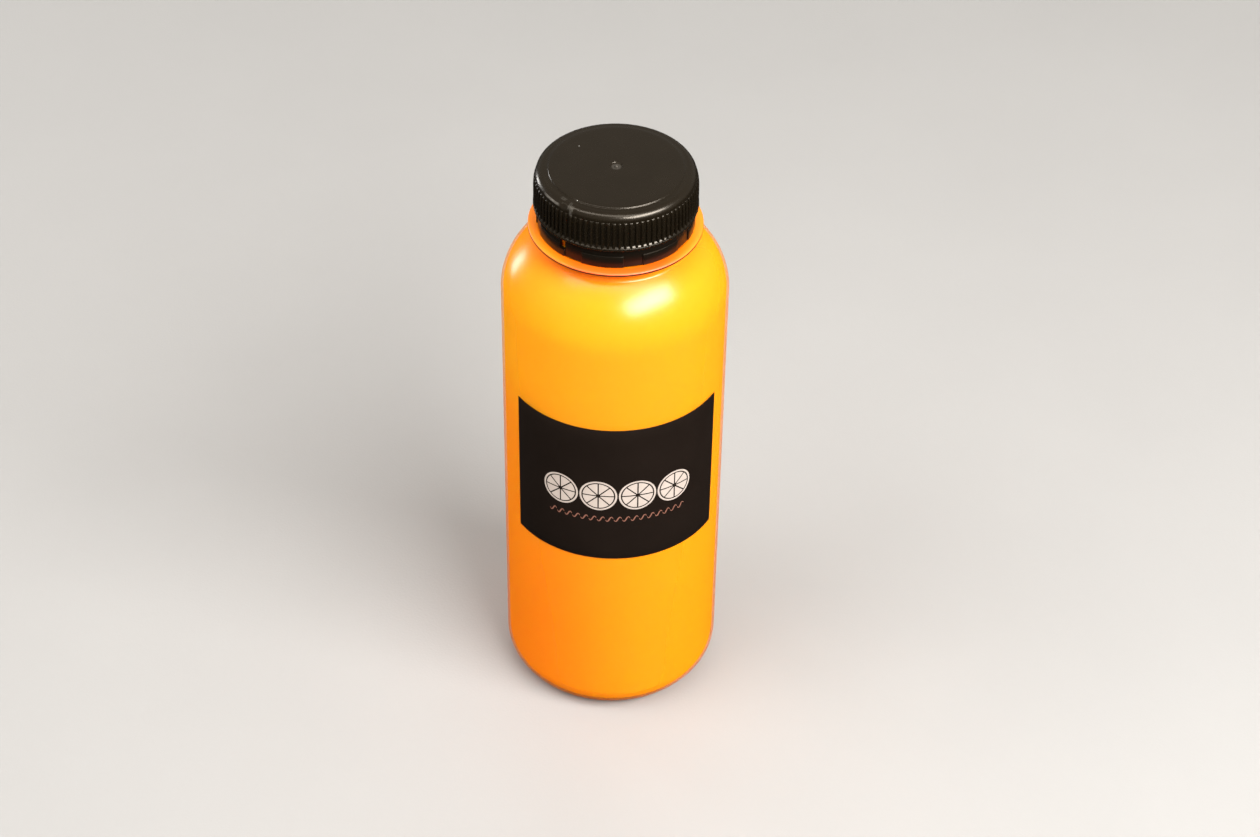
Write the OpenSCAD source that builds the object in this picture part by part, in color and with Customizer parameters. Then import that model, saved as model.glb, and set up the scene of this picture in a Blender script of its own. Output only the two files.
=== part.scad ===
// Filled juice bottle with a ribbed screw cap, a tamper band and a wrap label.
// Millimetres, +Z up. The origin is the middle of the foot, on the surface it stands on.
// The label is centred on -Y, which is the front.

/* [Body] */
// Outer diameter of the straight body
body_d = 58; // [48:0.5:80]
// Height above the foot at which the shoulder starts
shoulder_z = 128.4; // [108:0.1:180]
// Thickness of the blown wall
body_wall = 0.8; // [0.5:0.05:1.5]
// Radius of the rounded corner between the body and the foot
corner_r = 8.7; // [5:0.1:12]
// Width of the flat ring that the bottle stands on
foot_w = 4; // [2:0.1:7]
// Rise of the dished middle of the base
push_up = 1.8; // [1:0.1:4]

/* [Shoulder and neck] */
// Height that the domed shoulder climbs
shoulder_h = 16.1; // [10:0.1:30]
// Share of a quarter oval that the shoulder follows, in degrees
shoulder_turn = 47; // [30:1:60]
// Distance outside the neck wall at which the dome gives way to its fillet
neck_lip = 0.55; // [0.3:0.05:1.5]
// Height of the bare neck between the fillet and the neck ring
neck_h = 2.7; // [1.5:0.1:8]
// Thickness of the neck ring, whose edge is half round
ring_t = 0.9; // [0.6:0.05:2]
// Distance that the neck ring stands out from the neck
ring_proud = 2.75; // [1.5:0.05:3]
// Distance that the neck ring stands out past the tamper band
ring_reach = 2.1; // [1:0.05:4]

/* [Neck finish] */
// Outer diameter of the finish that the cap covers
finish_d = 37.2; // [30:0.1:46]
// Height of the finish above the neck ring
finish_h = 14.1; // [12.5:0.1:20]
// Wall thickness of the finish
finish_wall = 1.4; // [1:0.05:2.5]

/* [Juice] */
// Distance from the rim down to the juice
headspace_h = 7.8; // [5:0.1:30]

/* [Cap] */
// Free space between the finish and the cap's skirt, and under the tamper band
cap_clear = 0.25; // [0.15:0.05:0.6]
// Wall thickness of the skirt between its ribs
cap_wall = 1.15; // [0.8:0.05:2]
// Height from the lower edge of the cap to the flat rim of its top
cap_h = 10.25; // [8.8:0.05:11]
// Thickness of the top plate at its rim
plate_t = 1.9; // [1.2:0.05:3]
// Radius of the rounded edge between the skirt and the top
edge_r = 2; // [1:0.1:2.6]
// Width of the flat rim between the rounded edge and the raised disc
rim_w = 1.1; // [0.5:0.1:3]
// Height of the raised disc above the rim
disc_rise = 0.35; // [0.15:0.05:0.8]
// Further rise of the disc from its edge to its middle
disc_crown = 0.2; // [0.1:0.05:1]
// Diameter of the dimple round the moulding gate
gate_d = 3.2; // [2:0.1:6]
// Depth of that dimple
gate_depth = 0.3; // [0.1:0.05:0.6]
// Diameter of the nub left by the gate
nub_d = 1.1; // [0.6:0.1:1.8]
// Height of the nub above the floor of its dimple
nub_h = 0.6; // [0.3:0.05:1]

/* [Grip ribs] */
// Number of ribs round the skirt
rib_count = 90; // [40:1:110]
// Width of one rib
rib_w = 0.8; // [0.5:0.05:1]
// Distance that a rib stands out from the skirt
rib_proud = 0.62; // [0.45:0.01:0.9]
// Length over which a rib sinks back into the skirt at its top
rib_runout = 3; // [1:0.1:4]
// Distance from the rim of the top down to where the ribs start
rib_drop = 2.1; // [1.5:0.1:3]
// Height of the bead that the ribs stand on
bead_h = 0.7; // [0.5:0.05:1.5]

/* [Tamper band] */
// Wall thickness of the band above its pads
band_wall = 0.7; // [0.5:0.05:1]
// Distance that the pads stand out from the band
pad_proud = 0.3; // [0.15:0.05:0.6]
// Height of the pads
pad_h = 3.3; // [2:0.1:4]
// Number of pads round the band
pad_count = 8; // [4:1:12]
// Angle that one pad takes, in degrees
pad_turn = 31; // [10:1:40]
// Middle of the first pad, in degrees round from the front
pad_start = -12.4; // [-45:0.1:45]
// Height of the slit between the cap and the band
slit_h = 0.45; // [0.3:0.05:0.8]
// Number of bridges across the slit
bridge_count = 12; // [6:1:24]
// Width of one bridge
bridge_w = 0.8; // [0.5:0.1:1.5]
// Distance that a bridge is set in from both faces of the band
bridge_inset = 0.1; // [0.05:0.01:0.2]
// Width of the notch in the upper edge of the band
notch_w = 1.6; // [1:0.1:3]
// Height of the band that is left below the notch
notch_floor_h = 1.9; // [0.5:0.1:2]
// Place of the notch, in degrees round from the front
notch_turn = -44.2; // [-180:0.1:180]

/* [Label] */
// Length of the label round the body
label_w = 60.4; // [30:0.1:100]
// Height of the label
label_h = 44.7; // [20:0.1:60]
// Height of its lower edge above the foot
label_z = 59.7; // [20:0.1:62]
// Thickness of the label
label_t = 0.15; // [0.1:0.05:0.4]

/* [Hidden] */
$fn = 180;
arc_steps = 24;
fine_steps = 8;
rib_steps = 4;
front = -90;
bite = 1;

body_r = body_d / 2;

finish_r = finish_d / 2;
bore_r = finish_r - finish_wall;
skirt_bore_r = finish_r + cap_clear;
skirt_r = skirt_bore_r + cap_wall;
crest_r = skirt_r + rib_proud;
band_r = skirt_bore_r + band_wall;
pad_r = band_r + pad_proud;
ring_r = pad_r + ring_reach;
neck_r = ring_r - ring_proud;

// The shoulder is part of an oval. It leaves the body upright, and ends where its fillet takes over.
shoulder_end_r = neck_r + neck_lip;
oval_rx = (body_r - shoulder_end_r) / (1 - cos(shoulder_turn));
oval_rz = shoulder_h / sin(shoulder_turn);
oval_x = body_r - oval_rx;
slope = atan(tan(shoulder_turn) * oval_rx / oval_rz);
fillet_r = neck_lip / (1 - cos(slope));
fillet_x = neck_r + fillet_r;
fillet_z = shoulder_z + shoulder_h + fillet_r * sin(slope);

ring_z = fillet_z + neck_h;
ring_top = ring_z + ring_t;
finish_top = ring_top + finish_h;
juice_top = finish_top - headspace_h;

rim_top = finish_top + plate_t;
cap_z = rim_top - cap_h;
bead_top = cap_z + bead_h;
rib_top = rim_top - rib_drop;
disc_r = skirt_r - edge_r - rim_w;
disc_top = rim_top + disc_rise;
gate_floor = disc_top + disc_crown - gate_depth;

band_z = ring_top + cap_clear;
band_top = cap_z - slit_h;
notch_floor = band_z + notch_floor_h;

foot_r = body_r - corner_r;
dish_r = foot_r - foot_w;
label_turn = label_w / (PI * body_d) * 360;

// Points along part of an oval, from one angle to another
function oval_arc(x, z, rx, rz, from, to, steps) =
    [for (i = [0 : steps]) let (a = from + (to - from) * i / steps) [x + rx * cos(a), z + rz * sin(a)]];

// Points along part of a circle
function arc(x, z, r, from, to, steps) = oval_arc(x, z, r, r, from, to, steps);

// Points along a shallow dome over the axis, from the axis out to a radius
function dome(r, z, rise, steps) =
    let (big_r = (r * r + rise * rise) / (2 * rise))
    [for (i = [0 : steps]) let (x = r * i / steps) [x, z + rise - big_r + sqrt(big_r * big_r - x * x)]];

// Points of a list in the opposite order
function turned(points) = [for (i = [len(points) - 1 : -1 : 0]) points[i]];

// Corner, side, shoulder and fillet of the bottle, all moved in by a wall
function blown_side(wall) = concat(
    arc(foot_r, corner_r, corner_r - wall, -90, 0, arc_steps),
    oval_arc(oval_x, shoulder_z, oval_rx - wall, oval_rz - wall, 0, shoulder_turn, arc_steps),
    turned(arc(fillet_x, fillet_z, fillet_r + wall, 180, 180 + slope, fine_steps)));

// Inside of the bottle up to a height in its bore, from the axis below
function inside(top) = concat(
    dome(dish_r, body_wall, push_up, arc_steps),
    blown_side(body_wall),
    [[neck_r - body_wall, ring_z - finish_wall], [bore_r, ring_z], [bore_r, top]]);

module bottle() {
    outside = concat(
        dome(dish_r, 0, push_up, arc_steps),
        blown_side(0),
        [[neck_r, ring_z]],
        arc(ring_r - ring_t / 2, ring_z + ring_t / 2, ring_t / 2, -90, 90, fine_steps),
        [[finish_r, ring_top], [finish_r, finish_top]]);
    color("orange", 0.5)
        rotate_extrude()
            polygon(concat(outside, turned(inside(finish_top))));
}

module juice() {
    color("orange")
        rotate_extrude()
            polygon(concat(inside(juice_top), [[0, juice_top]]));
}

// Skirt, top plate with its raised disc, and the bead under the ribs
module cap_shell() {
    rotate_extrude()
        polygon(concat(
            [[skirt_bore_r, cap_z], [crest_r, cap_z], [crest_r, bead_top], [skirt_r, bead_top]],
            arc(skirt_r - edge_r, rim_top - edge_r, edge_r, 0, 90, fine_steps),
            arc(disc_r - disc_rise, rim_top, disc_rise, 0, 90, fine_steps),
            turned(dome(disc_r - disc_rise, disc_top, disc_crown, arc_steps)),
            [[0, finish_top], [skirt_bore_r, finish_top]]));
}

// All the ribs, which stand on the bead and run out into the skirt at their tops
module ribs() {
    round_r = rib_w / 2;
    intersection() {
        translate([0, 0, bead_top])
            linear_extrude(rib_top - bead_top)
                for (i = [0 : rib_count - 1])
                    rotate(front + i * 360 / rib_count)
                        translate([crest_r - round_r, 0])
                            circle(round_r, $fn = 16);
        rotate_extrude()
            polygon(concat(
                [[skirt_r - round_r, bead_top], [crest_r, bead_top]],
                [for (i = [0 : rib_steps])
                    let (a = 90 * i / rib_steps)
                    [skirt_r + rib_proud * cos(a), rib_top - rib_runout * (1 - sin(a))]],
                [[skirt_r - round_r, rib_top]]));
    }
}

module cap() {
    color("#1c1a17") {
        difference() {
            union() {
                cap_shell();
                ribs();
            }
            translate([0, 0, gate_floor])
                cylinder(h = gate_depth + bite, d = gate_d);
        }
        translate([0, 0, gate_floor])
            cylinder(h = nub_h, d = nub_d);
    }
}

// A piece of a ring, centred on an angle round from the front
module ring_piece(inner_r, outer_r, z, h, middle, turn) {
    translate([0, 0, z])
        rotate(front + middle - turn / 2)
            rotate_extrude(angle = turn)
                translate([inner_r, 0])
                    square([outer_r - inner_r, h]);
}

module tamper_band() {
    bridge_turn = bridge_w / band_r * 180 / PI;
    notch_angle = notch_w / band_r * 180 / PI;
    color("#1c1a17")
        difference() {
            union() {
                translate([0, 0, band_z])
                    difference() {
                        cylinder(h = band_top - band_z, r = band_r);
                        translate([0, 0, -bite])
                            cylinder(h = band_top - band_z + 2 * bite, r = skirt_bore_r);
                    }
                for (i = [0 : pad_count - 1])
                    ring_piece(band_r - band_wall / 2, pad_r, band_z, pad_h,
                        pad_start + i * 360 / pad_count, pad_turn);
                for (i = [0 : bridge_count - 1])
                    ring_piece(skirt_bore_r + bridge_inset, band_r - bridge_inset, band_top - slit_h,
                        2 * slit_h, i * 360 / bridge_count, bridge_turn);
            }
            ring_piece(skirt_bore_r - bite, pad_r + bite, notch_floor, band_top - notch_floor + bite,
                notch_turn, notch_angle);
        }
}

module label() {
    color("#15110f")
        ring_piece(body_r, body_r + label_t, label_z, label_h, 0, label_turn);
}

bottle();
juice();
cap();
tamper_band();
label();
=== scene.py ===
"""Looks of a filled juice bottle with a ribbed screw cap, a tamper band and a wrap label.

The label is centred on -Y. Angles "round from the front" start at -Y and grow towards +X.
"""

import math

import bmesh
import bpy
from mathutils import Matrix, Vector


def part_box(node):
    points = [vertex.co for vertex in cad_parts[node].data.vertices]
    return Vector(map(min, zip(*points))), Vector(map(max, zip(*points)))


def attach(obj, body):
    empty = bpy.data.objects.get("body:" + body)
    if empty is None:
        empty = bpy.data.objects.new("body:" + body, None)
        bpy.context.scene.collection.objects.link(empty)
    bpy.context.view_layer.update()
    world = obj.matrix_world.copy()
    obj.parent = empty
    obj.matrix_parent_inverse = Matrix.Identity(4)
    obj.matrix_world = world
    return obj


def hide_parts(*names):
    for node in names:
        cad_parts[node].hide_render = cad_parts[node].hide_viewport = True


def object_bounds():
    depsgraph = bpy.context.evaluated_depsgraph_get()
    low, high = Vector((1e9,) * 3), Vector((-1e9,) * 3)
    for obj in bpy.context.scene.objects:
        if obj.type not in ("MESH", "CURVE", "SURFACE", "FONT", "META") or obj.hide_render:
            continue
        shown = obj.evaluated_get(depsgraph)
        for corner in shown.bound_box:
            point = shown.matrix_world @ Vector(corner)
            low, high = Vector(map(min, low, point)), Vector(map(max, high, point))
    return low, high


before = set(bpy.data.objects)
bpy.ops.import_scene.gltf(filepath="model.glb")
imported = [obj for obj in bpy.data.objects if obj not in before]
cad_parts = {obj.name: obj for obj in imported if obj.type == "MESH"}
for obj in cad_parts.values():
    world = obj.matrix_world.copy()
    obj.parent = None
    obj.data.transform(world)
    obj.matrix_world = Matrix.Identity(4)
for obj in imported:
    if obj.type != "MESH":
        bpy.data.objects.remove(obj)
cad_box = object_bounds()

MM = 0.001
WELD = 0.001 * MM
BODY = "root"
FRONT = math.radians(-90)


# ---------------------------------------------------------------- sizes

def corner(node):
    """The highest corner of a CAD node."""
    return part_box(node)[1]


# Read from the frame
body_r = corner("bottle").x
finish_top = corner("bottle").z
wall = body_r - corner("juice").x
juice_top = corner("juice").z
crest_r = corner("cap").x
cap_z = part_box("cap")[0].z
band_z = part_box("tamper_band")[0].z
label_low, label_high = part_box("label")
label_r = -label_low.y
label_turn = 2 * math.asin(label_high.x / label_r)

# Bottle
corner_r = 8.7 * MM
foot_w = 4 * MM
push_up = 1.8 * MM
shoulder_z = 128.4 * MM
shoulder_h = 16.1 * MM
shoulder_turn = math.radians(47)
neck_lip = 0.55 * MM
neck_r = 19.2 * MM
ring_t = 0.9 * MM
ring_r = 21.95 * MM
ring_edge = 0.4 * MM
ring_crown = 1.4 * MM
finish_wall = 1.4 * MM

# Cap and band
cap_clear = 0.25 * MM
skirt_r = crest_r - 0.62 * MM
skirt_bore_r = skirt_r - 1.15 * MM
cap_h = 10.25 * MM
edge_r = 2 * MM
rim_w = 1.1 * MM
disc_rise = 0.35 * MM
disc_crown = 0.2 * MM
gate_r = 1.6 * MM
gate_depth = 0.3 * MM
nub_r = 0.55 * MM
nub_h = 0.6 * MM
rib_count = 90
rib_w = 0.8 * MM
crest_inset = 0.1 * MM
rib_runout = 3 * MM
rib_drop = 2.1 * MM
bead_h = 0.7 * MM
band_wall = 0.7 * MM
pad_proud = 0.3 * MM
pad_h = 3.3 * MM
pad_count = 8
pad_turn = math.radians(31)
pad_start = math.radians(-12.4)
slit_h = 0.45 * MM
bridge_count = 12
bridge_w = 0.8 * MM
bridge_inset = 0.1 * MM
notch_w = 1.6 * MM
notch_floor_h = 1.9 * MM
notch_turn = math.radians(-44.2)

# Label and its print
film_t = 0.12 * MM
film_grip = 0.02 * MM
ink_t = 0.012 * MM
ink_lift = 0.001 * MM
slice_count = 4
slice_r = 4.95 * MM
slice_pitch = 10.3 * MM
slice_up = 22.2 * MM
ripple_count = 17
ripple_pitch = 2.2 * MM
ripple_up = 14.2 * MM

# Heights between which painted light lightens the filled bottle at its shoulder, and painted shade darkens
# its neck
glow_start, glow_full = 90 * MM, 116 * MM
glow_fade, glow_end = 128 * MM, 141 * MM
neck_shade_start, neck_shade_full = 140 * MM, 147 * MM

# Scuffs at the edge of the cap. Each has its middle in degrees round from the front and in mm along the
# profile, outwards and then down, half of its extent both ways, and its tone: light, or below 0 pressed in
SCUFFS = [
    (-55.5, 20.75, 10.0, 0.55, 0.85),
    (-55.0, 19.7, 9.0, 0.45, -0.8),
    (-47.0, 18.1, 3.4, 0.7, 0.15),
    (-43.3, 20.6, 2.8, 1.3, -1.0),
    (-38.6, 19.4, 1.5, 1.7, 0.22),
    (-36.2, 20.8, 1.6, 2.2, 0.3),
    (-33.2, 21.0, 1.1, 1.6, -1.0),
]

# Specks of dust on the cap, in mm: place and radius
DUST = [(-8.9, 8.7, 165.9, 0.36), (-10.1, -13.5, 165.5, 0.2)]

# Softboxes: name, degrees round from the front and above the horizon, distance, width and height in metres,
# power in watts, colour, and whether they show in reflections
WARM_WHITE = (1.0, 0.98, 0.95)
SOFTBOXES = [
    ("key_softbox", 41, 44, 0.9, 0.7, 0.28, 18, WARM_WHITE, True),
    ("left_softbox", -130, 3, 0.8, 0.12, 0.26, 1.8, (1.0, 1.0, 1.0), True),
    ("overhead_softbox", -15, 72, 0.9, 1.3, 0.22, 5, (1.0, 0.97, 0.93), True),
    ("fill_softbox", -72, 44, 1.4, 1.2, 1.0, 14, WARM_WHITE, False),
    ("back_softbox", 170, 35, 1.4, 1.2, 1.0, 5, WARM_WHITE, False),
]

# Derived
finish_r = skirt_bore_r - cap_clear
bore_r = finish_r - finish_wall
ring_top = band_z - cap_clear
ring_z = ring_top - ring_t
ring_round = ring_t - ring_edge
foot_r = body_r - corner_r
dish_r = foot_r - foot_w
rim_top = cap_z + cap_h
rib_top = rim_top - rib_drop
bead_top = cap_z + bead_h
disc_r = skirt_r - edge_r - rim_w
disc_top = rim_top + disc_rise
gate_floor = disc_top + disc_crown - gate_depth
band_r = skirt_bore_r + band_wall
band_top = cap_z - slit_h
pad_top = band_z + pad_h
notch_floor = band_z + notch_floor_h
shoulder_rx = (body_r - neck_r - neck_lip) / (1 - math.cos(shoulder_turn))
shoulder_rz = shoulder_h / math.sin(shoulder_turn)
fillet_slope = math.atan(math.tan(shoulder_turn) * shoulder_rx / shoulder_rz)
fillet_r = neck_lip / (1 - math.cos(fillet_slope))
fillet_z = shoulder_z + shoulder_h + fillet_r * math.sin(fillet_slope)


# ---------------------------------------------------------------- node trees

class Number:
    """A number that a node gives, so that maths on it is written with the usual signs."""

    def __init__(self, graph, socket):
        self.graph, self.socket = graph, socket

    def _math(self, operation, *values):
        node = self.graph.add("ShaderNodeMath", {"operation": operation}, dict(enumerate(values)))
        return Number(self.graph, node.outputs[0])

    def __add__(self, other):
        return self._math("ADD", self, other)

    def __sub__(self, other):
        return self._math("SUBTRACT", self, other)

    def __rsub__(self, other):
        return self._math("SUBTRACT", other, self)

    def __mul__(self, other):
        return self._math("MULTIPLY", self, other)

    def __truediv__(self, other):
        return self._math("DIVIDE", self, other)

    __radd__ = __add__
    __rmul__ = __mul__

    def floor(self):
        return self._math("FLOOR", self)

    def distance(self):
        """How far it is from 0."""
        return self._math("ABSOLUTE", self)

    def most(self, other):
        """The larger of the two."""
        return self._math("MAXIMUM", self, other)

    def smooth(self, low, high, start=0.0, end=1.0):
        """From start to end as the number goes from low to high, with soft ends."""
        node = self.graph.add("ShaderNodeMapRange", {"interpolation_type": "SMOOTHSTEP"},
                              {"Value": self, "From Min": low, "From Max": high,
                               "To Min": start, "To Max": end})
        return Number(self.graph, node.outputs["Result"])


class Graph:
    """A node tree under construction."""

    def __init__(self, tree):
        self.tree = tree

    def add(self, kind, settings=None, sockets=None):
        """Adds one node: its type, then its settings, then the values or links of its sockets."""
        node = self.tree.nodes.new(kind)
        for name, value in (settings or {}).items():
            setattr(node, name, value)
        for key, value in (sockets or {}).items():
            value = value.socket if isinstance(value, Number) else value
            if isinstance(value, bpy.types.NodeSocket):
                self.tree.links.new(value, node.inputs[key])
            else:
                node.inputs[key].default_value = value
        return node

    def number(self, kind, settings, sockets, output=0):
        """A node whose output is used as a number."""
        return Number(self, self.add(kind, settings, sockets).outputs[output])

    def split(self, vector):
        """The X, Y and Z of a vector, as numbers."""
        node = self.add("ShaderNodeSeparateXYZ", {}, {0: vector})
        return [Number(self, output) for output in node.outputs]

    def vector(self, x, y, z):
        return self.add("ShaderNodeCombineXYZ", {}, {0: x, 1: y, 2: z}).outputs[0]


class Finish(Graph):
    """A material made of one Principled shader and the patterns that feed it."""

    def __init__(self, name):
        self.material = bpy.data.materials.new(name)
        self.material.use_nodes = True
        super().__init__(self.material.node_tree)
        self.tree.nodes.clear()
        self.place = self.add("ShaderNodeTexCoord").outputs["Object"]

    def noise(self, size, detail=2.0, rough=0.5, vector=None):
        """Soft mottling from 0 to 1, with patches of about that size."""
        return self.number("ShaderNodeTexNoise", {},
                           {"Vector": vector or self.place, "Scale": 1 / size, "Detail": detail,
                            "Roughness": rough}, "Fac")

    def reach(self, x, y):
        """The distance from the vertical axis."""
        return self.number("ShaderNodeVectorMath", {"operation": "LENGTH"},
                           {0: self.vector(x, y, 0.0)}, "Value")

    def turn(self, x, y):
        """Degrees round from the front."""
        return self.number("ShaderNodeMath", {"operation": "ARCTAN2"}, {0: x, 1: 0.0 - y}) * (180 / math.pi)

    def near(self, point):
        """The distance from a point."""
        return self.number("ShaderNodeVectorMath", {"operation": "DISTANCE"},
                           {0: self.place, 1: point}, "Value")

    def mix(self, first, second, share):
        """A colour between two others."""
        node = self.add("ShaderNodeMix", {"data_type": "RGBA"}, {0: share, 6: first, 7: second})
        return node.outputs[2]

    def relief(self, height, depth):
        """A normal for a surface that rises by depth where height is 1."""
        return self.add("ShaderNodeBump", {},
                        {"Strength": 1.0, "Distance": depth, "Height": height}).outputs[0]

    def shade(self, **sockets):
        """Ends the material. Socket names have _ for a space."""
        named = {name.replace("_", " "): value for name, value in sockets.items()}
        shader = self.add("ShaderNodeBsdfPrincipled", {}, named)
        self.add("ShaderNodeOutputMaterial", {}, {"Surface": shader.outputs[0]})
        return self.material


def rgb(red, green, blue):
    return (red, green, blue, 1.0)


# ---------------------------------------------------------------- materials

def painted_light_band(z):
    """1 at the height of the shoulder, falling to 0 above and below it: where painted light lies."""
    return z.smooth(glow_start, glow_full) * z.smooth(glow_fade, glow_end, 1.0, 0.0)


def bottle_plastic():
    """Thin blown plastic, milky enough to show the juice behind it. Its colour holds painted light and
    painted shade: lighter upwards and at the upper left of the shoulder, darker at the neck. Its neck ring
    is deeper, with painted shade at its front, painted light at its sides and a painted shadow on its lower
    edge.
    """
    f = Finish("bottle_plastic")
    x, y, z = f.split(f.place)
    # Painted shade and painted light: the skin goes from the darker orange low down to the lighter one high
    # up
    deep = rgb(0.93, 0.245, 0.0)
    painted_light_orange = rgb(0.96, 0.365, 0.012)
    # Painted light at the upper left of the shoulder
    painted_light_glow = rgb(0.96, 0.48, 0.004)
    # Painted shade at the neck, below the ring
    shaded = rgb(0.9, 0.17, 0.0)
    # Painted shade at the front of the neck ring and painted light at its sides
    ring_front_painted_shade = rgb(0.86, 0.095, 0.0)
    ring_side_painted_light = rgb(0.92, 0.22, 0.0)
    # Painted shadow on the lower edge of the neck ring
    painted_crease_shadow = rgb(0.06, 0.006, 0.0)
    height = z.smooth(0.0, finish_top)
    cloud = f.noise(30 * MM)
    away = f.reach(x, y)
    upper_left_painted_light = painted_light_band(z) * x.smooth(-body_r, 0.0, 1.0, 0.0)
    neck = z.smooth(neck_shade_start, neck_shade_full)
    flange = away.smooth(neck_r + 0.2 * MM, neck_r + 0.8 * MM) * z.smooth(ring_z - 0.4 * MM, ring_z)
    # Where the painted shadow lies, on the lower edge of the neck ring
    under = (away.smooth(ring_r - 0.4 * MM, ring_r - 0.2 * MM)
             * z.smooth(ring_z - 0.3 * MM, ring_z - 0.1 * MM)
             * z.smooth(ring_z + ring_edge, ring_z + ring_edge + 0.12 * MM, 1.0, 0.0))
    seam = y.distance().smooth(0.05 * MM, 0.35 * MM, 1.0, 0.0)
    peel = f.noise(1.8 * MM, 1.0)
    # The neck ring's colour, with painted shade at the front and painted light at the sides
    ring = f.mix(ring_front_painted_shade, ring_side_painted_light, x.distance().smooth(9 * MM, 20 * MM))
    # Painted light and shade in the skin: lighter upwards and at the upper left of the shoulder, darker at
    # the neck
    skin = f.mix(deep, painted_light_orange, height * 0.8 + cloud * 0.2)
    skin = f.mix(skin, painted_light_glow, upper_left_painted_light * 0.6)
    skin = f.mix(skin, shaded, neck * 0.75)
    return f.shade(
        Base_Color=f.mix(f.mix(skin, ring, flange), painted_crease_shadow, under),
        Roughness=f.noise(6 * MM, 3.0) * 0.05 + flange * 0.2 + 0.23,
        Alpha=flange * 0.48 + 0.5,
        Specular_IOR_Level=0.75,
        Normal=f.relief(peel * 0.25 + seam * 0.6, 0.02 * MM),
    )


def orange_juice():
    """Cloudy juice that lets light in a little way before it comes back. Its colour holds painted shade and
    painted light: darker at the lower left, lighter towards the right, upwards and at the upper left of the
    shoulder.
    """
    f = Finish("orange_juice")
    x, _, z = f.split(f.place)
    # Painted shade and painted light: the darker orange for the lower left, the lighter one for the right
    # and the top
    deep = rgb(0.93, 0.2, 0.0)
    painted_light_orange = rgb(0.97, 0.42, 0.004)
    flesh = rgb(1.0, 0.42, 0.04)
    height = z.smooth(0.0, finish_top)
    side = x.smooth(-body_r, body_r * 0.6)
    pulp = f.noise(1.2 * MM, 2.0).smooth(0.62, 0.8)
    upper_left_painted_light = painted_light_band(z) * (1.0 - side)
    cloud = f.noise(18 * MM)
    # Painted light by side and height and at the upper left of the shoulder; the cloud is the juice's own
    # tone
    blend = side * (1.1 - height * 0.8) + height * 0.34 + upper_left_painted_light * 0.5 + cloud * 0.1 - 0.05
    return f.shade(
        Base_Color=f.mix(f.mix(deep, painted_light_orange, blend), flesh, pulp * 0.12),
        Roughness=0.4,
        Specular_IOR_Level=0.0,
        Subsurface_Weight=0.7,
        Subsurface_Radius=(1.0, 0.4, 0.05),
        Subsurface_Scale=6 * MM,
    )


def black_skin(f):
    """The moulded surface that the cap and its band share: grain, broad smudges and fine specks."""
    return f.noise(0.22 * MM, 2.0), f.noise(7 * MM, 3.0, 0.6), f.noise(0.5 * MM, 0.0).smooth(0.74, 0.8)


def cap_plastic():
    """Black polyethylene with a satin skin, a frosted gate that is also painted lighter as a painted
    highlight, a little dust, and scuffs at its edge.
    """
    f = Finish("cap_plastic")
    grain, smudge, specks = black_skin(f)
    x, y, z = f.split(f.place)
    away = f.reach(x, y)
    turn = f.turn(x, y)
    fall = away + rim_top - z
    strokes = f.noise(0.35 * MM, 2.0, 0.6, f.vector(turn * (0.34 * MM), fall * 0.2, 0.0)).smooth(0.36, 0.6)
    scuff = 0.0
    for middle, along, half_turn, half_along, tone in SCUFFS:
        window = ((turn - middle).distance().smooth(half_turn * 0.5, half_turn, 1.0, 0.0)
                  * (fall - along * MM).distance().smooth(half_along * 0.4 * MM, half_along * MM, 1.0, 0.0))
        scuff = window * max(tone, 0.0) + scuff
    scuff = scuff * (strokes * 0.7 + 0.3)
    spots = 0.0
    for dx, dy, dz, size in DUST:
        spots = f.near((dx * MM, dy * MM, dz * MM)).smooth(size * 0.7 * MM, size * MM, 1.0, 0.0) + spots
    # The gate is rougher and also painted lighter as a painted highlight on its dimple; the light scuffs
    # are wear
    gate = away.smooth(gate_r - 0.7 * MM, gate_r - 0.2 * MM, 1.0, 0.0)
    frost_and_painted_sheen = rgb(0.13, 0.12, 0.105)
    dust = rgb(0.6, 0.58, 0.54)
    base = f.mix(rgb(0.0048, 0.0032, 0.0014), rgb(0.007, 0.0048, 0.0024), smudge)
    base = f.mix(base, frost_and_painted_sheen, scuff.most(gate * 0.2))
    return f.shade(
        Base_Color=f.mix(base, dust, spots * 0.8),
        Roughness=smudge * 0.08 + grain * 0.04 + specks * 0.1 + scuff * 0.2 + gate * 0.14 + 0.2,
        Specular_IOR_Level=0.45,
        Specular_Tint=rgb(1.0, 0.9, 0.78),
        Normal=f.relief(grain * 0.12 + specks * 0.3 + spots * 3 + scuff * 2, 0.012 * MM),
    )


def band_plastic():
    """The same black plastic, duller because it is rubbed, and painted a little darker as painted shade,
    because it is shaded.
    """
    f = Finish("band_plastic")
    grain, smudge, specks = black_skin(f)
    # Painted shade: a little darker than the cap
    return f.shade(
        Base_Color=f.mix(rgb(0.0035, 0.0026, 0.0016), rgb(0.006, 0.0045, 0.003), smudge),
        Roughness=smudge * 0.1 + grain * 0.04 + specks * 0.1 + 0.24,
        Specular_IOR_Level=0.2,
        Specular_Tint=rgb(1.0, 0.86, 0.7),
        Normal=f.relief(grain * 0.12 + specks * 0.3, 0.012 * MM),
    )


def label_film():
    """Black satin film."""
    f = Finish("label_film")
    cloud = f.noise(14 * MM, 2.0)
    tooth = f.noise(0.3 * MM, 1.0)
    return f.shade(
        Base_Color=f.mix(rgb(0.0075, 0.0047, 0.0034), rgb(0.0115, 0.0074, 0.0055), cloud),
        Roughness=cloud * 0.08 + tooth * 0.04 + 0.4,
        Specular_IOR_Level=0.08,
        Normal=f.relief(tooth * 0.4 + f.noise(9 * MM) * 2, 0.01 * MM),
    )


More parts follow.
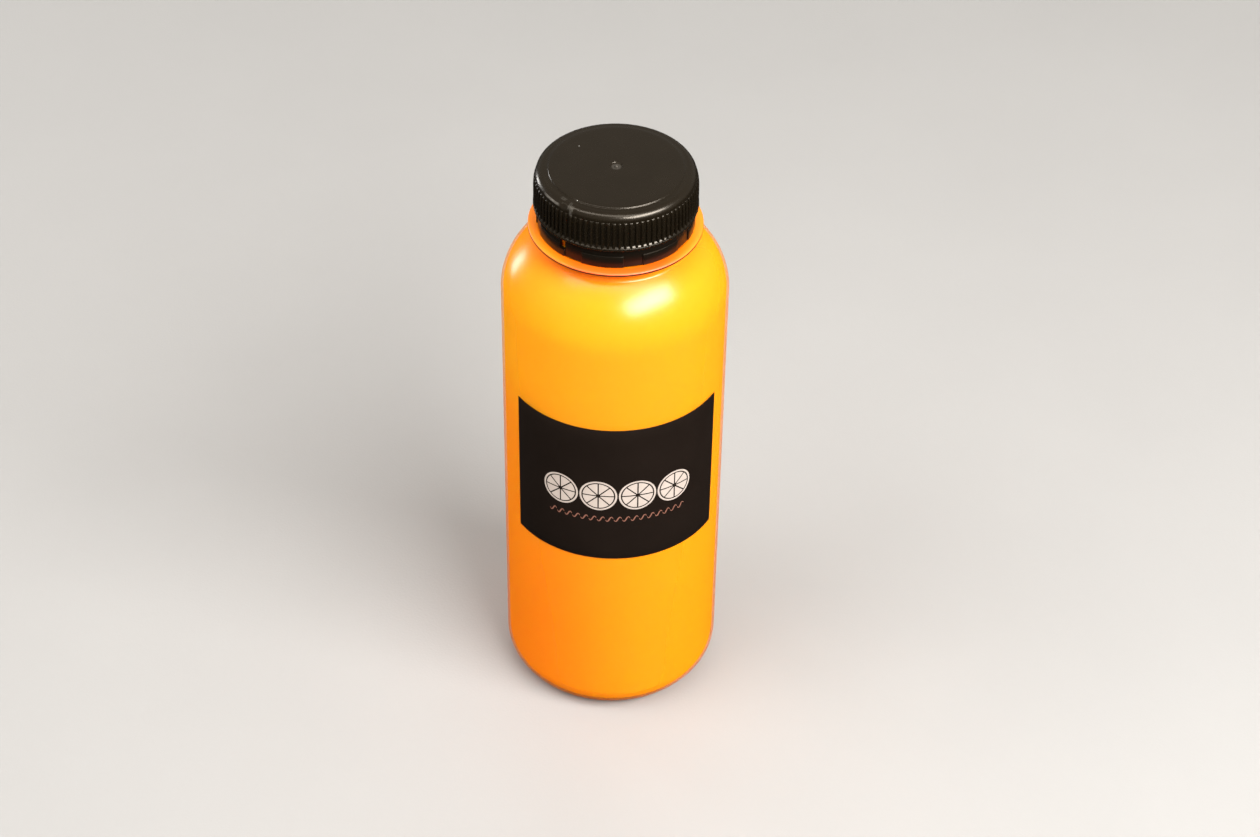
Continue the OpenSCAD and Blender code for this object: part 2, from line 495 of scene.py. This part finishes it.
def ink(name, first, second):
    """A printed colour that lies a little unevenly on its film."""
    f = Finish(name)
    cover = f.noise(1.5 * MM, 3.0)
    return f.shade(
        Base_Color=f.mix(first, second, cover),
        Roughness=cover * 0.1 + 0.42,
        Normal=f.relief(f.noise(0.25 * MM), 0.004 * MM),
    )


def studio_floor():
    """Pale matt ground."""
    f = Finish("studio_floor")
    return f.shade(
        Base_Color=f.mix(rgb(0.3, 0.296, 0.292), rgb(0.32, 0.316, 0.312), f.noise(60 * MM, 4.0)),
        Roughness=0.6,
        Normal=f.relief(f.noise(0.8 * MM, 3.0), 0.05 * MM),
    )


# ---------------------------------------------------------------- shapes by Geometry Nodes

def geometry_tree(name, inputs):
    """Starts a tree with named inputs. Gives its graph and the sockets of those inputs."""
    tree = bpy.data.node_groups.new(name, "GeometryNodeTree")
    tree.is_modifier = True
    for label, kind in inputs.items():
        tree.interface.new_socket(label, in_out="INPUT", socket_type="NodeSocket" + kind)
    tree.interface.new_socket("Geometry", in_out="OUTPUT", socket_type="NodeSocketGeometry")
    graph = Graph(tree)
    given = graph.add("NodeGroupInput").outputs
    return graph, {label: given[label] for label in inputs}


def end_tree(graph, geometry, finish):
    """Realizes the instances, sets the material and closes the tree."""
    real = graph.add("GeometryNodeRealizeInstances", {}, {0: geometry}).outputs[0]
    smooth = graph.add("GeometryNodeSetShadeSmooth", {}, {0: real}).outputs[0]
    done = graph.add("GeometryNodeSetMaterial", {}, {0: smooth, "Material": finish}).outputs[0]
    graph.add("NodeGroupOutput", {}, {0: done})
    return graph.tree


def object_shape(graph, given):
    return graph.add("GeometryNodeObjectInfo", {}, {"Object": given}).outputs["Geometry"]


def turned_tree():
    """Turns an outline, given as a row of points, about the vertical axis."""
    graph, given = geometry_tree("turned_form", {
        "Outline": "Object", "Segments": "Int", "Finish": "Material"})
    outline = object_shape(graph, given["Outline"])
    points = graph.number("GeometryNodeAttributeDomainSize", {"component": "MESH"}, {0: outline})
    segments = Number(graph, given["Segments"])
    grid = graph.add("GeometryNodeMeshGrid", {},
                     {"Size X": 1.0, "Size Y": 1.0, "Vertices X": segments + 1, "Vertices Y": points})
    index = graph.number("GeometryNodeInputIndex", {}, {})
    column = ((index + 0.5) / points).floor()
    row = index - column * points
    place = graph.add("GeometryNodeSampleIndex", {"data_type": "FLOAT_VECTOR", "domain": "POINT"},
                      {0: outline, 1: graph.add("GeometryNodeInputPosition").outputs[0], "Index": row})
    turn = column * (2 * math.pi) / segments
    turned = graph.add("ShaderNodeVectorRotate", {"rotation_type": "Z_AXIS"},
                       {"Vector": place.outputs[0], "Angle": turn})
    formed = graph.add("GeometryNodeSetPosition", {},
                       {0: grid.outputs["Mesh"], "Position": turned.outputs[0]})
    closed = graph.add("GeometryNodeMergeByDistance", {}, {0: formed.outputs[0], "Distance": WELD})
    return end_tree(graph, closed.outputs[0], given["Finish"])


def round_array_tree():
    """Copies a shape round the vertical axis."""
    graph, given = geometry_tree("round_array", {
        "Shape": "Object", "Count": "Int", "First turn": "Float", "Finish": "Material"})
    count = Number(graph, given["Count"])
    index = graph.number("GeometryNodeInputIndex", {}, {})
    turn = index * (2 * math.pi) / count + given["First turn"]
    points = graph.add("GeometryNodePoints", {}, {"Count": count})
    copies = graph.add("GeometryNodeInstanceOnPoints", {}, {
        0: points.outputs[0], "Instance": object_shape(graph, given["Shape"]),
        "Rotation": graph.vector(0.0, 0.0, turn)})
    return end_tree(graph, copies.outputs[0], given["Finish"])


def label_row_tree():
    """Sets a row of flat shapes side by side and bends the row round the label."""
    graph, given = geometry_tree("label_row", {
        "Shape": "Object", "Count": "Int", "Pitch": "Float", "Height": "Float", "Radius": "Float",
        "Finish": "Material"})
    count = Number(graph, given["Count"])
    index = graph.number("GeometryNodeInputIndex", {}, {})
    along = (index - (count - 1) / 2) * given["Pitch"]
    points = graph.add("GeometryNodePoints", {}, {
        "Count": count, "Position": graph.vector(along, 0.0, given["Height"])})
    copies = graph.add("GeometryNodeInstanceOnPoints", {}, {
        0: points.outputs[0], "Instance": object_shape(graph, given["Shape"])})
    flat = graph.add("GeometryNodeRealizeInstances", {}, {0: copies.outputs[0]})
    x, y, z = graph.split(graph.add("GeometryNodeInputPosition").outputs[0])
    radius = Number(graph, given["Radius"])
    bent = graph.add("ShaderNodeVectorRotate", {"rotation_type": "Z_AXIS"}, {
        "Vector": graph.vector(0.0, y - radius, z), "Angle": x / radius})
    formed = graph.add("GeometryNodeSetPosition", {}, {0: flat.outputs[0], "Position": bent.outputs[0]})
    return end_tree(graph, formed.outputs[0], given["Finish"])


def piece_from_tree(name, tree, **inputs):
    """A plain mesh made by a tree. Its inputs are named with _ for a space."""
    maker = bpy.data.objects.new(name, bpy.data.meshes.new(name))
    bpy.context.scene.collection.objects.link(maker)
    form = maker.modifiers.new("form", "NODES")
    form.node_group = tree
    identifiers = {item.name: item.identifier for item in tree.interface.items_tree
                   if item.in_out == "INPUT"}
    for label, value in inputs.items():
        form[identifiers[label.replace("_", " ")]] = value
    depsgraph = bpy.context.evaluated_depsgraph_get()
    mesh = bpy.data.meshes.new_from_object(maker.evaluated_get(depsgraph))
    maker.modifiers.remove(form)
    maker.data = one_finish(mesh, inputs["Finish"])
    return maker


def one_finish(mesh, finish):
    """Leaves the mesh with one material slot."""
    mesh.materials.clear()
    mesh.materials.append(finish)
    mesh.polygons.foreach_set("material_index", [0] * len(mesh.polygons))
    return mesh


# ---------------------------------------------------------------- shapes by hand

def shape(name, mesh):
    """An object that only serves as the pattern of a tree, and isn't shown."""
    return bpy.data.objects.new(name, mesh)


def outline(name, points):
    """A row of points at a radius and a height."""
    mesh = bpy.data.meshes.new(name)
    mesh.from_pydata([(r, 0.0, z) for r, z in points], [(i, i + 1) for i in range(len(points) - 1)], [])
    return shape(name, mesh)


def bow(x, z, rx, rz, start, end, steps):
    """Points along part of an oval, from one angle to another, in degrees."""
    turns = [math.radians(start + (end - start) * i / steps) for i in range(steps + 1)]
    return [(x + rx * math.cos(a), z + rz * math.sin(a)) for a in turns]


def dome(r, z, rise, steps):
    """Points along a shallow dome, from the axis out to a radius."""
    big_r = (r * r + rise * rise) / (2 * rise)
    places = [r * i / steps for i in range(steps + 1)]
    return [(x, z + rise - big_r + math.sqrt(big_r * big_r - x * x)) for x in places]


def straight(start, end, steps):
    """Points along a straight line, both ends included."""
    return [(start[0] + (end[0] - start[0]) * i / steps, start[1] + (end[1] - start[1]) * i / steps)
            for i in range(steps + 1)]


def finish_mesh(piece, sharp_deg=35):
    """Points the faces outwards and keeps true edges crisp."""
    work = bmesh.new()
    work.from_mesh(piece.data)
    bmesh.ops.remove_doubles(work, verts=work.verts, dist=WELD / 2)
    bmesh.ops.recalc_face_normals(work, faces=work.faces)
    work.to_mesh(piece.data)
    work.free()
    piece.data.shade_smooth()
    piece.data.set_sharp_from_angle(angle=math.radians(sharp_deg))
    return piece


def block(width, depth, height, soften, columns=1, rows=1):
    """A block with softened edges: X along its width, Y from 0 outwards to -depth, Z from 0 up."""
    work = bmesh.new()
    bmesh.ops.create_cube(work, size=1.0)
    bmesh.ops.scale(work, vec=(width, depth, height), verts=work.verts)
    bmesh.ops.translate(work, vec=(0.0, -depth / 2, height / 2), verts=work.verts)
    for axis, cuts in ((0, columns - 1), (2, rows - 1)):
        if cuts:
            edges = [e for e in work.edges
                     if abs((e.verts[0].co - e.verts[1].co).normalized()[axis]) > 0.9]
            bmesh.ops.subdivide_edges(work, edges=edges, cuts=cuts, use_grid_fill=True)
    hard = [e for e in work.edges if e.calc_face_angle(0.0) > math.radians(45)]
    bmesh.ops.bevel(work, geom=hard, offset=soften, segments=2, profile=0.5, affect="EDGES")
    return work


def bend(work, radius):
    """Wraps a flat shape round the axis, with its Y=0 face at that radius, centred on the front."""
    for vert in work.verts:
        turn = FRONT + vert.co.x / radius
        r = radius - vert.co.y
        vert.co = (r * math.cos(turn), r * math.sin(turn), vert.co.z)
    return work


def as_mesh(name, work):
    mesh = bpy.data.meshes.new(name)
    work.to_mesh(mesh)
    work.free()
    return mesh


# ---------------------------------------------------------------- pieces

def blown_side(inset, steps):
    """Corner, side, shoulder and fillet of the bottle, moved in by an inset."""
    return (bow(foot_r, corner_r, corner_r - inset, corner_r - inset, -90, 0, steps)
            + straight((body_r - inset, corner_r + 4 * MM), (body_r - inset, shoulder_z - 2 * MM), 12)
            + bow(body_r - shoulder_rx, shoulder_z, shoulder_rx - inset, shoulder_rz - inset,
                  0, math.degrees(shoulder_turn), steps)
            + bow(neck_r + fillet_r, fillet_z, fillet_r + inset, fillet_r + inset,
                  180 + math.degrees(fillet_slope), 180, 10)[1:])


def bottle_outline():
    rim_round = 0.3 * MM
    edge = 0.05 * MM
    root_w = 0.12 * MM
    root_h = 0.15 * MM
    outside = (dome(dish_r, 0.0, push_up, 16) + blown_side(0.0, 28)
               + [(neck_r, ring_z - root_h), (neck_r + root_w, ring_z), (ring_r - edge, ring_z),
                  (ring_r, ring_z + edge), (ring_r, ring_z + ring_edge)]
               + bow(ring_r - ring_crown, ring_top - ring_round, ring_crown, ring_round, 0, 90, 12)[1:]
               + [(finish_r, ring_top), (finish_r, finish_top - rim_round)]
               + bow(finish_r - rim_round, finish_top - rim_round, rim_round, rim_round, 0, 90, 4)[1:])
    inside = (dome(dish_r, wall, push_up, 8) + blown_side(wall, 14)
              + [(neck_r - wall, ring_z - finish_wall), (bore_r, ring_z), (bore_r, finish_top - rim_round)]
              + bow(bore_r + rim_round, finish_top - rim_round, rim_round, rim_round, 180, 90, 4)[1:])
    return outline("bottle_outline", outside + inside[::-1])


def juice_outline():
    """The inside of the bottle, reaching a little into its wall."""
    grip = 0.15 * MM
    inset = wall - grip
    side = (dome(dish_r, inset, push_up, 12) + blown_side(inset, 24)
            + [(neck_r - inset, ring_z - finish_wall), (bore_r + grip, ring_z),
               (bore_r + grip, juice_top)])
    return outline("juice_outline", side + [(0.0, juice_top)])


def cap_outline():
    soft = 0.14 * MM
    ledge = 0.16 * MM
    slope_w = 0.06 * MM
    slope_h = 0.45 * MM
    side_low = bead_top + 1.2 * MM
    side_high = rim_top - edge_r - 0.3 * MM
    groove = 0.12 * MM
    gate_lip = 0.2 * MM
    gate_edge = 0.1 * MM
    crown = [(r, z) for r, z in dome(disc_r - disc_rise, disc_top, disc_crown, 16)
             if r > gate_r + 3 * gate_lip]
    gate_top = disc_top + disc_crown
    return outline("cap_outline",
        [(0.0, finish_top), (skirt_bore_r, finish_top), (skirt_bore_r, cap_z + soft)]
        + bow(skirt_bore_r + soft, cap_z + soft, soft, soft, 180, 270, 3)[1:]
        + bow(crest_r - soft, cap_z + soft, soft, soft, -90, 0, 4)
        + bow(crest_r - soft, bead_top - soft, soft, soft, 0, 90, 4)
        + straight((crest_r - ledge, bead_top), (skirt_r + slope_w, bead_top + slope_h), 3)
        + [(skirt_r, bead_top + slope_h + 0.15 * MM)]
        + straight((skirt_r, side_low), (skirt_r, side_high), 4)
        + bow(skirt_r - edge_r, rim_top - edge_r, edge_r, edge_r, 0, 90, 16)
        + [(disc_r + groove, rim_top)]
        + bow(disc_r - disc_rise, rim_top, disc_rise, disc_rise, 12, 90, 6)
        + crown[::-1][1:]
        + [(gate_r + 0.3 * gate_lip, gate_top - gate_edge / 5), (gate_r, gate_top - gate_edge)]
        + bow(nub_r, gate_top - gate_edge, gate_r - nub_r, gate_depth - gate_edge, 0, -90, 8)[1:]
        + bow(0.0, gate_floor, nub_r, nub_h - 0.05 * MM, 0, 90, 8))


def band_outline():
    soft = 0.12 * MM
    mid_r = skirt_bore_r + band_wall / 2
    return outline("band_outline",
        [(mid_r, band_z)]
        + bow(band_r - soft, band_z + soft, soft, soft, -90, 0, 3)
        + [(band_r, pad_top)]
        + bow(band_r - soft, band_top - soft, soft, soft, 0, 90, 3)
        + bow(skirt_bore_r + soft, band_top - soft, soft, soft, 90, 180, 3)
        + bow(skirt_bore_r + soft, band_z + soft, soft, soft, 180, 270, 3)
        + [(mid_r, band_z)])


def rib_shape():
    """One grip rib on the +X side: half round, and sinking into the skirt at its top."""
    across = [-90 + 180 * i / 6 for i in range(7)]
    proud = crest_r - crest_inset - skirt_r
    runout = [(rib_top - rib_runout * (1 - math.sin(a)), math.cos(a))
              for a in [math.radians(90 * i / 7) for i in range(8)]]
    levels = [(bead_top - 0.05 * MM, 1.0)] + runout
    back = skirt_r - 0.1 * MM
    work = bmesh.new()
    rows = []
    for z, share in levels:
        sunk = 0.02 * MM if share < 0.01 else 0.0
        row = [work.verts.new((back, -rib_w / 2, z))]
        for a in across:
            turn = math.radians(a)
            bulge = proud - rib_w / 2 + rib_w / 2 * math.cos(turn)
            row.append(work.verts.new((skirt_r + bulge * share - sunk, rib_w / 2 * math.sin(turn), z)))
        row.append(work.verts.new((back, rib_w / 2, z)))
        rows.append(row)
    for low, high in zip(rows, rows[1:]):
        for i in range(len(low) - 1):
            work.faces.new((low[i], low[i + 1], high[i + 1], high[i]))
        work.faces.new((low[-1], low[0], high[0], high[-1]))
    work.faces.new(rows[0][::-1])
    work.faces.new(rows[-1])
    return shape("rib_shape", as_mesh("rib_shape", work))


def pad_shape():
    """One raised pad of the tamper band, turned to the front."""
    root = 0.15 * MM
    inner = band_r - root
    work = block(pad_turn * inner, pad_proud + root, pad_h, 0.12 * MM, columns=14)
    bmesh.ops.translate(work, vec=(0.0, 0.0, band_z), verts=work.verts)
    return shape("pad_shape", as_mesh("pad_shape", bend(work, inner)))


def bridge_shape():
    """One thin bridge between the band and the cap, turned to the front."""
    inner = skirt_bore_r + bridge_inset
    work = block(bridge_w, band_wall - 2 * bridge_inset, cap_z - band_top + slit_h / 2, 0.06 * MM)
    bmesh.ops.translate(work, vec=(0.0, 0.0, band_top - slit_h / 2), verts=work.verts)
    return shape("bridge_shape", as_mesh("bridge_shape", bend(work, inner)))


def notch_cutter():
    """A block that cuts the notch out of the upper edge of the band."""
    work = block(notch_w, 4 * band_wall, 2 * (band_top - notch_floor), 0.3 * MM)
    bmesh.ops.translate(work, vec=(0.0, -skirt_bore_r + band_wall, notch_floor), verts=work.verts)
    bmesh.ops.rotate(work, cent=(0, 0, 0), matrix=Matrix.Rotation(notch_turn, 3, "Z"), verts=work.verts)
    return shape("notch_cutter", as_mesh("notch_cutter", work))


def polar_patch(work, inner, outer, start, end, gap, rings, steps):
    """A flat piece of a ring in the XZ plane, with a gap left along both of its straight sides."""
    grid = []
    for i in range(rings + 1):
        r = inner + (outer - inner) * i / rings
        trim = math.asin(min(1.0, gap / 2 / r))
        turns = [start + trim + (end - start - 2 * trim) * j / steps for j in range(steps + 1)]
        grid.append([work.verts.new((r * math.cos(a), 0.0, r * math.sin(a))) for a in turns])
    for low, high in zip(grid, grid[1:]):
        for j in range(steps):
            work.faces.new((low[j], low[j + 1], high[j + 1], high[j]))


def printed(name, work):
    """Gives a flat shape the thickness of its ink, as a closed solid.

    Its faces are listed one by one, as an extrusion would give them in another order each time.
    """
    bmesh.ops.remove_doubles(work, verts=work.verts, dist=WELD)
    flat = as_mesh(name + "_flat", work)
    back = [vert.co.copy() for vert in flat.vertices]
    front = [point - Vector((0.0, ink_t, 0.0)) for point in back]
    faces = [tuple(face.vertices) for face in flat.polygons]
    bpy.data.meshes.remove(flat)
    edges = [edge for face in faces for edge in zip(face, face[1:] + face[:1])]
    known = set(edges)
    rim = [(a, b) for a, b in edges if (b, a) not in known]
    count = len(back)
    mesh = bpy.data.meshes.new(name)
    mesh.from_pydata(back + front, [], [face[:1] + face[:0:-1] for face in faces]
                     + [tuple(i + count for i in face) for face in faces]
                     + [(a, b, b + count, a + count) for a, b in rim])
    return shape(name, mesh)


def slice_shape():
    """A citrus slice: a thin rind and eight segments."""
    rind = 0.5 * MM
    pith = 0.36 * MM
    heart = 0.6 * MM
    segments = 8
    work = bmesh.new()
    polar_patch(work, slice_r - rind, slice_r, 0.0, 2 * math.pi, 0.0, 1, 48)
    for i in range(segments):
        start = 2 * math.pi * i / segments
        polar_patch(work, heart, slice_r - rind - pith, start, start + 2 * math.pi / segments, pith, 6, 6)
    return printed("slice_shape", work)


def ripple_shape():
    """One period of a wavy pen line, a little short of its neighbours and thinner at its ends."""
    half_h = 0.75 * MM
    steps = 16
    work = bmesh.new()
    edges = []
    for i in range(steps + 1):
        share = i / steps
        x = ripple_pitch * (share - 0.5) * 0.9
        z = half_h * math.sin(2 * math.pi * x / ripple_pitch)
        slope = math.atan(half_h * 2 * math.pi / ripple_pitch * math.cos(2 * math.pi * x / ripple_pitch))
        half_w = (0.07 + 0.1 * math.sin(math.pi * share)) * MM
        side = Vector((-math.sin(slope), 0.0, math.cos(slope))) * half_w
        edges.append([work.verts.new(Vector((x, 0.0, z)) + side * way) for way in (-1, 1)])
    for low, high in zip(edges, edges[1:]):
        work.faces.new((low[0], high[0], high[1], low[1]))
    return printed("ripple_shape", work)


def dent_edge(piece):
    """Presses the deep scuffs into the rounded edge of the cap and raises the light ones a little."""
    depth = 0.22 * MM
    raised = 0.25
    for vert in piece.data.vertices:
        away = math.hypot(vert.co.x, vert.co.y)
        if away < skirt_r - 2 * edge_r or vert.co.z < rib_top - rib_runout:
            continue
        turn = math.degrees(math.atan2(vert.co.x, -vert.co.y))
        fall = (away + rim_top - vert.co.z) / MM
        press = 0.0
        for middle, along, half_turn, half_along, tone in SCUFFS:
            share = (max(0.0, 1 - abs(turn - middle) / half_turn)
                     * max(0.0, 1 - abs(fall - along) / half_along))
            press += min(1.0, 1.5 * share) * max(-tone, -tone * raised)
        ripple = 0.75 + 0.25 * math.sin(turn * 4.7) * math.sin(fall * 9.0)
        vert.co -= vert.normal * depth * press * ripple


def cut(piece, cutter):
    """Takes a cutter's shape out of a piece, for good."""
    bpy.context.scene.collection.objects.link(cutter)
    tool = piece.modifiers.new("cut", "BOOLEAN")
    tool.operation = "DIFFERENCE"
    tool.object = cutter
    depsgraph = bpy.context.evaluated_depsgraph_get()
    mesh = bpy.data.meshes.new_from_object(piece.evaluated_get(depsgraph))
    piece.modifiers.remove(tool)
    piece.data = one_finish(mesh, piece.data.materials[0])
    bpy.data.objects.remove(cutter)


def settle(piece, slot, *nodes):
    """Puts a finished piece on the body and hides the CAD nodes that it stands for. Its slot is not used.
    """
    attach(piece, BODY)
    if nodes:
        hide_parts(*nodes)
    return piece


def build_bottle(turned):
    wall_piece = piece_from_tree("bottle_wall", turned, Outline=bottle_outline(), Segments=224,
                                 Finish=bottle_plastic())
    settle(finish_mesh(wall_piece, 40), "bottle_wall", "bottle")
    juice_piece = piece_from_tree("juice_fill", turned, Outline=juice_outline(), Segments=160,
                                  Finish=orange_juice())
    settle(finish_mesh(juice_piece), "juice", "juice")


def build_cap(turned, arrayed):
    black = cap_plastic()
    dull = band_plastic()
    shell = piece_from_tree("cap_shell", turned, Outline=cap_outline(), Segments=360, Finish=black)
    finish_mesh(shell, 50)
    dent_edge(shell)
    settle(shell, "cap_plastic", "cap")
    ribs = piece_from_tree("cap_ribs", arrayed, Shape=rib_shape(), Count=rib_count,
                           First_turn=FRONT, Finish=black)
    settle(finish_mesh(ribs, 60), "cap_plastic")

    band = piece_from_tree("band_ring", turned, Outline=band_outline(), Segments=240, Finish=dull)
    finish_mesh(band)
    cut(band, notch_cutter())
    settle(finish_mesh(band), "cap_plastic", "tamper_band")
    pads = piece_from_tree("band_pads", arrayed, Shape=pad_shape(), Count=pad_count,
                           First_turn=pad_start, Finish=dull)
    finish_mesh(pads, 60)
    cut(pads, notch_cutter())
    settle(finish_mesh(pads, 60), "cap_plastic")
    bridges = piece_from_tree("band_bridges", arrayed, Shape=bridge_shape(), Count=bridge_count,
                              First_turn=0.0, Finish=dull)
    settle(finish_mesh(bridges, 60), "cap_plastic")


def build_label(rowed):
    sheet = block(label_turn * body_r, film_t + film_grip, label_high.z - label_low.z, 0.03 * MM,
                  columns=96, rows=12)
    bmesh.ops.translate(sheet, vec=(0.0, 0.0, label_low.z), verts=sheet.verts)
    mesh = as_mesh("label_sheet", bend(sheet, body_r - film_grip))
    mesh.materials.append(label_film())
    piece = bpy.data.objects.new("label_sheet", mesh)
    bpy.context.scene.collection.objects.link(piece)
    settle(finish_mesh(piece, 50), "label_film", "label")

    face = body_r + film_t + ink_lift
    slices = piece_from_tree("label_slices", rowed, Shape=slice_shape(), Count=slice_count,
                             Pitch=slice_pitch, Height=label_low.z + slice_up, Radius=face,
                             Finish=ink("cream_ink", rgb(0.44, 0.37, 0.33), rgb(0.52, 0.45, 0.4)))
    settle(finish_mesh(slices, 50), "label_film")
    ripples = piece_from_tree("label_ripples", rowed, Shape=ripple_shape(), Count=ripple_count,
                              Pitch=ripple_pitch, Height=label_low.z + ripple_up, Radius=face,
                              Finish=ink("copper_ink", rgb(0.2, 0.08, 0.055), rgb(0.28, 0.12, 0.08)))
    settle(finish_mesh(ripples, 50), "label_film")


# ---------------------------------------------------------------- studio

def direction(azimuth, elevation):
    """Unit vector towards a place round from the front and above the horizon, in degrees."""
    a, e = math.radians(azimuth), math.radians(elevation)
    return Vector((math.sin(a) * math.cos(e), -math.cos(a) * math.cos(e), math.sin(e)))


middle = Vector((0.0, 0.0, (cad_box[0].z + cad_box[1].z) / 2))


def softbox(name, azimuth, elevation, distance, width, height, power, colour, reflected):
    """A soft rectangular light that faces the middle of the bottle."""
    lamp = bpy.data.lights.new(name, "AREA")
    lamp.shape = "RECTANGLE"
    lamp.size = width
    lamp.size_y = height
    lamp.energy = power
    lamp.color = colour
    holder = bpy.data.objects.new(name, lamp)
    bpy.context.scene.collection.objects.link(holder)
    back = direction(azimuth, elevation)
    holder.location = middle + back * distance
    holder.rotation_euler = back.to_track_quat("Z", "Y").to_euler()
    holder.visible_glossy = reflected


def build_studio():
    for given in SOFTBOXES:
        softbox(*given)

    world = bpy.data.worlds.new("studio_air")
    world.use_nodes = True
    air = Graph(world.node_tree)
    air.tree.nodes.clear()
    haze = 0.15
    below, above = 0.05, 0.38
    up = air.split(air.add("ShaderNodeTexCoord").outputs["Generated"])[2]
    sky = air.add("ShaderNodeBackground", {}, {
        "Color": rgb(1.0, 0.94, 0.85), "Strength": up.smooth(-haze, haze, below, above)})
    air.add("ShaderNodeOutputWorld", {}, {"Surface": sky.outputs[0]})
    bpy.context.scene.world = world

    floor_half = 3.0
    work = bmesh.new()
    bmesh.ops.create_grid(work, x_segments=8, y_segments=8, size=floor_half)
    floor = bpy.data.objects.new("studio_floor", as_mesh("studio_floor", work))
    floor.data.materials.append(studio_floor())
    bpy.context.scene.collection.objects.link(floor)
    floor.visible_glossy = False


def build_camera():
    azimuth, elevation, roll = -3.3, 41.3, 0.98
    distance = 744.2 * MM
    aside = 4.4 * MM
    lens = bpy.data.cameras.new("camera")
    lens.lens = 80.26
    lens.sensor_width = 36
    lens.clip_start = 0.05
    lens.clip_end = 20
    camera = bpy.data.objects.new("camera", lens)
    back = direction(azimuth, elevation)
    right = Vector((0.0, 0.0, 1.0)).cross(back).normalized()
    turn = Matrix((right, back.cross(right), back)).transposed()
    place = Matrix.Translation(middle + Vector((aside, 0.0, 0.0)) + back * distance)
    camera.matrix_world = place @ turn.to_4x4() @ Matrix.Rotation(math.radians(roll), 4, "Z")
    bpy.context.scene.collection.objects.link(camera)
    bpy.context.scene.camera = camera


turned = turned_tree()
arrayed = round_array_tree()
build_bottle(turned)
build_cap(turned, arrayed)
build_label(label_row_tree())
build_camera()
build_studio()
bpy.context.scene.view_settings.view_transform = "Standard"
